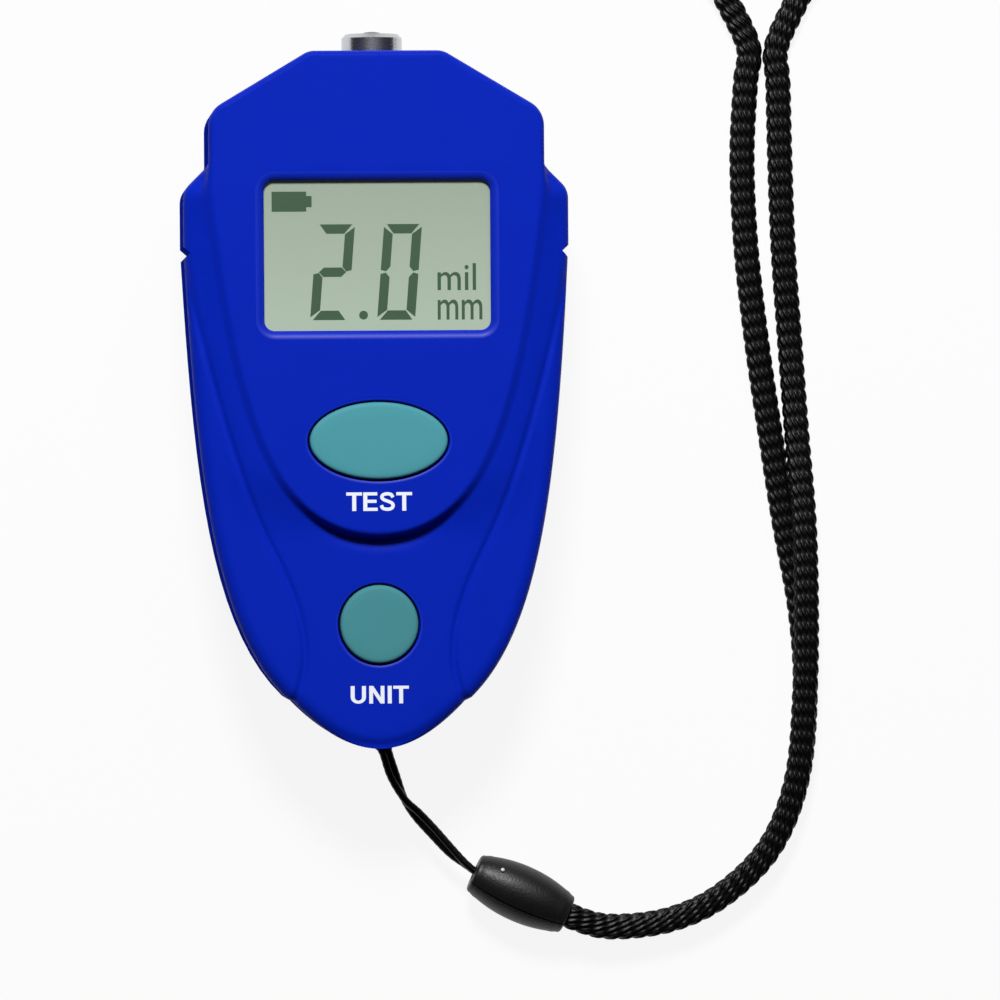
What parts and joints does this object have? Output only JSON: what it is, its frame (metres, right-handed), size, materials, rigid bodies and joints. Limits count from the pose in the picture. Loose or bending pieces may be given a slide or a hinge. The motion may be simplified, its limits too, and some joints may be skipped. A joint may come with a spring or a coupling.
{
  "type": "coating thickness gauge",
  "caption": "Hand-held coating thickness gauge with a raised shield panel, display window, two press buttons, probe end, sliding battery door and knitted wrist strap.",
  "frame": {"origin": "middle of the flat back that the gauge rests on, under the centre of the gauge's box without its strap", "axes": "+X to the right of the display, +Y from the nose to the probe, +Z out of the front face"},
  "size_m": [0.098, 0.1582, 0.026],
  "materials": {
    "case_blue": "fine satin moulded plastic",
    "key_teal": "matte soft-touch",
    "window_clear": "clear polished",
    "lcd_grey": "satin grey-green film",
    "frame_white": "matte",
    "strip_pink": "matte",
    "board_green": "solder mask",
    "part_black": "matte",
    "stem_ivory": "matte",
    "steel": "bright plated",
    "core_iron": "ground",
    "copper": "enamelled wire",
    "lead_red": "insulated wire",
    "cell_wrap": "printed wrap, plain",
    "strap_black": "knitted cord",
    "bead_black": "satin"
  },
  "bodies": {
    "case": {"front_case": "case_blue", "rear_case": "case_blue", "display_window": "window_clear", "lcd_glass": "lcd_grey", "lcd_frame": "frame_white", "rubber_strips": "strip_pink", "circuit_board": "board_green", "controller_chip": "part_black", "test_switch": "part_black", "unit_switch": "part_black", "probe_sleeve": "steel", "probe_core": "core_iron", "coil_bobbin": "frame_white", "probe_coil": "copper", "probe_leads": "lead_red", "cell_left": "cell_wrap", "cell_right": "cell_wrap", "positive_plate": "steel", "negative_plate": "steel", "negative_spring": "steel", "bridge_plate": "steel", "bridge_spring": "steel", "case_screws": "steel", "board_screws": "steel", "strap_thread": "strap_black", "bead_upper": "bead_black", "bead_lower": "bead_black", "strap_cord": "strap_black"},
    "test_key": {"test_button": "key_teal", "test_switch_stem": "stem_ivory"},
    "unit_key": {"unit_button": "key_teal", "unit_switch_stem": "stem_ivory"},
    "door": {"battery_door": "case_blue"}
  },
  "joints": [
    {"name": "test_press", "type": "slide", "parent": "case", "child": "test_key", "axis": [0, 0, -1], "range_m": [0, 0.0005], "stiffness_N_per_m": 1500},
    {"name": "unit_press", "type": "slide", "parent": "case", "child": "unit_key", "axis": [0, 0, -1], "range_m": [0, 0.0005], "stiffness_N_per_m": 1500},
    {"name": "door_slide", "type": "slide", "parent": "case", "child": "door", "axis": [0, -1, 0], "range_m": [0, 0.056]}
  ]
}
